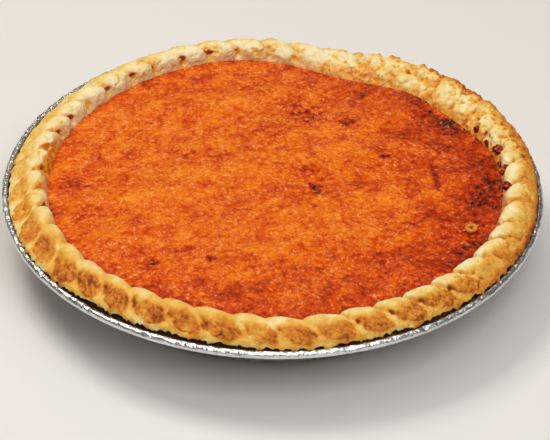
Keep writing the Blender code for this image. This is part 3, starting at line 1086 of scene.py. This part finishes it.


# %% [markdown]
# ## Baked sweet potato
#
# The cooked flesh is a saturated orange. Sugar on its skin caramelises to red and then to a
# dark brown. Light peach streaks are painted on as glints where it isn't scorched, and the tops
# of the tiny bubbles are painted paler and the hollows between them darker, as painted highlight
# and painted shade. A thin film of syrup makes it glisten. Each tiny bubble gives its own
# highlight, so the bumps matter more here than the colour does, and the highlights take a warm
# tint from the syrup.

# %% Filling finish
def sweet_potato():
    made, tree, shader = new_finish("baked_sweet_potato_skin")
    where = add(tree, "TexCoord").outputs["Object"]
    scorch = add(tree, "Attribute", attribute_name="scorch").outputs["Fac"]
    mottle = cloudy(tree, where, 3.2, 5.0, Roughness=0.65)
    pulp = cloudy(tree, where, 1.0, 3.0, Roughness=0.6)
    bubbles = add(
        tree,
        "TexVoronoi",
        {"Scale": per_metre(1.9), "Smoothness": 0.4},
        {"Vector": where},
        feature="SMOOTH_F1",
    ).outputs["Distance"]
    swells = cloudy(tree, where, 2.2, 2.0)
    spread = add(tree, "MapRange", {"To Min": -0.26, "To Max": 0.26}, {"Value": mottle}).outputs[0]
    specks = add(tree, "MapRange", {"To Min": -0.2, "To Max": 0.2}, {"Value": pulp}).outputs[0]
    # Bubble tops painted paler and the hollows between them darker: painted highlight and painted shade
    painted_bubble_shading = add(tree, "MapRange", {"To Min": -0.12, "To Max": 0.18}, {"Value": bubbles}).outputs[0]
    total = scorch
    for part in (spread, specks, painted_bubble_shading):
        total = add(tree, "Math", {}, {0: total, 1: part}, operation="ADD").outputs[0]
    ramp = add(tree, "ValToRGB", {}, {"Fac": total})
    paint(
        ramp,
        (
            (0.00, "#F08C1A"),
            (0.30, "#E06602"),
            (0.50, "#CA4202"),
            (0.70, "#A42A06"),
            (0.90, "#741A06"),
            (1.00, "#420E05"),
        ),
    )
    # Light peach streaks where the flesh isn't scorched: painted glints
    glint_streaks = cloudy(tree, where, 3.4, 0.0, Distortion=0.8)
    off_glint_streak = add(tree, "Math", {1: 0.5}, {0: glint_streaks}, operation="SUBTRACT").outputs[0]
    off_glint_streak = add(tree, "Math", {}, {0: off_glint_streak}, operation="ABSOLUTE").outputs[0]
    glint_streak = add(
        tree,
        "MapRange",
        {"From Min": 0.0, "From Max": 0.1, "To Min": 1.0, "To Max": 0.0},
        {"Value": off_glint_streak},
    ).outputs[0]
    broken = add(
        tree, "MapRange", {"From Min": 0.5, "From Max": 0.64, "To Max": 0.75}, {"Value": pulp}
    ).outputs[0]
    light = add(tree, "MapRange", {"From Min": 0.8, "From Max": 0.45}, {"Value": total}).outputs[0]
    shown = add(tree, "Math", {}, {0: glint_streak, 1: broken}, operation="MULTIPLY").outputs[0]
    shown = add(tree, "Math", {}, {0: shown, 1: light}, operation="MULTIPLY").outputs[0]
    painted_glints = add(
        tree, "Mix", {MIX_B: linear("#FFB870")}, {0: shown, MIX_A: ramp.outputs[0]}, data_type="RGBA"
    ).outputs[MIXED]
    roughness = add(tree, "MapRange", {"To Min": 0.08, "To Max": 0.2}, {"Value": mottle}).outputs[0]
    bumps = add(tree, "Math", {1: -0.8}, {0: bubbles, 2: swells}, operation="MULTIPLY_ADD").outputs[0]
    bump = add(tree, "Bump", {"Strength": 1.0, "Distance": 0.4 * MM}, {"Height": bumps})
    tree.links.new(painted_glints, shader.inputs["Base Color"])
    tree.links.new(roughness, shader.inputs["Roughness"])
    tree.links.new(bump.outputs[0], shader.inputs["Normal"])
    shader.inputs["IOR"].default_value = 1.45
    shader.inputs["Specular IOR Level"].default_value = 0.5
    shader.inputs["Specular Tint"].default_value = linear("#FFC49A")
    return made


# %% [markdown]
# ## Foil and syrup
#
# Aluminium foil is bright on a pressed tin, with fine crinkles left by the rollers and the
# press. What boiled over baked on to the flange under the crust, and there it is brown and
# shines less like metal; that brown is also painted shade in the dark gap under the crust's
# lip. Boiled syrup is sugar glass: smooth, dark red and shiny.

# %% Foil finish and syrup finish
def foil():
    made, tree, shader = new_finish("aluminium_foil_pressed")
    where = add(tree, "TexCoord").outputs["Object"]
    crinkle = cloudy(tree, where, 1.5, 3.0, Roughness=0.6)
    dull = cloudy(tree, where, 14, 3.0)
    tint = add(tree, "ValToRGB", {}, {"Fac": dull})
    paint(tint, ((0.3, "#CFD1D3"), (0.7, "#EDEEEE")))
    # Baked-on brown on the flange, which also stands in as painted shade in the gap under the lip
    baked_on_and_gap_shade = add(tree, "Attribute", attribute_name="baked_on_and_gap_shade").outputs["Fac"]
    browned = add(
        tree, "Mix", {MIX_B: linear("#7A5440")}, {0: baked_on_and_gap_shade, MIX_A: tint.outputs[0]}, data_type="RGBA"
    ).outputs[MIXED]
    roughness = add(tree, "MapRange", {"To Min": 0.16, "To Max": 0.36}, {"Value": dull}).outputs[0]
    bare = add(tree, "MapRange", {"To Min": 1.0, "To Max": 0.3}, {"Value": baked_on_and_gap_shade}).outputs[0]
    bump = add(tree, "Bump", {"Strength": 0.9, "Distance": 0.6 * MM}, {"Height": crinkle})
    tree.links.new(browned, shader.inputs["Base Color"])
    tree.links.new(roughness, shader.inputs["Roughness"])
    tree.links.new(bump.outputs[0], shader.inputs["Normal"])
    tree.links.new(bare, shader.inputs["Metallic"])
    return made


def sugar_glass():
    made, tree, shader = new_finish("boiled_syrup")
    where = add(tree, "TexCoord").outputs["Object"]
    cloud = cloudy(tree, where, 1.5, 2.0)
    tint = add(tree, "ValToRGB", {}, {"Fac": cloud})
    paint(tint, ((0.35, "#430604"), (0.65, "#961206")))
    bump = add(tree, "Bump", {"Strength": 0.3, "Distance": 0.2 * MM}, {"Height": cloud})
    tree.links.new(tint.outputs[0], shader.inputs["Base Color"])
    tree.links.new(bump.outputs[0], shader.inputs["Normal"])
    shader.inputs["Roughness"].default_value = 0.09
    shader.inputs["IOR"].default_value = 1.49
    shader.inputs["Specular Tint"].default_value = linear("#FFD8CC")
    return made


# %% Give each piece its finish
crust_finish = shortcrust()
syrup_finish = sugar_glass()
pastry_piece.data.materials.append(crust_finish)
for crumb in [crumb_piece] + crumb_bits:
    crumb.data.materials.append(crust_finish)
filling_piece.data.materials.append(sweet_potato())
tin_piece.data.materials.append(foil())
for drop in drop_pieces:
    drop.data.materials.append(syrup_finish)
print("finishes:", len(bpy.data.materials))

# %% [markdown]
# ## Floor and light
#
# A pale floor and soft light show food best. A window lamp stands behind and to the left, so
# that wet places glint towards the camera, and a small warm lamp behind draws a bright line
# along the edge. A wide lamp overhead and one in front open the shadows.

# %% Floor
FLOOR_SIZE = 6.0
# The floor lies just below the tin, so that the two don't share a plane
FLOOR_GAP = 0.05
floor_mesh = bmesh.new()
bmesh.ops.create_grid(floor_mesh, x_segments=1, y_segments=1, size=FLOOR_SIZE / 2)
floor_data = bpy.data.meshes.new("floor")
floor_mesh.to_mesh(floor_data)
floor_mesh.free()
floor = bpy.data.objects.new("floor", floor_data)
floor.location.z = -FLOOR_GAP * MM
bpy.context.scene.collection.objects.link(floor)
floor_finish, _, floor_shader = new_finish("pale_table")
floor_shader.inputs["Base Color"].default_value = linear("#E4E2DE")
floor_shader.inputs["Roughness"].default_value = 0.6
floor_data.materials.append(floor_finish)


# %% Light
def softbox(name, position, size, power, colour):
    """A square lamp that points at the pie."""
    lamp = bpy.data.lights.new(name, "AREA")
    lamp.size = size
    lamp.energy = power
    lamp.color = linear(colour)[:3]
    held = bpy.data.objects.new(name, lamp)
    held.location = position
    held.rotation_euler = (-Vector(position)).to_track_quat("-Z", "Y").to_euler()
    bpy.context.scene.collection.objects.link(held)


softbox("window", (-0.5, 0.35, 1.2), 0.5, 8.0, "#FFF8EE")
softbox("rim", (-0.05, 1.05, 0.95), 0.12, 0.8, "#FFDCB4")
softbox("ceiling", (0.1, 0.0, 1.5), 1.2, 6.0, "#FFFFFF")
softbox("bounce", (0.25, -0.8, 1.1), 0.7, 8.0, "#FFFFFF")
world = bpy.data.worlds.new("studio")
world.use_nodes = True
world.node_tree.nodes["Background"].inputs["Color"].default_value = linear("#F8F2EA")
world.node_tree.nodes["Background"].inputs["Strength"].default_value = 0.14
bpy.context.scene.world = world
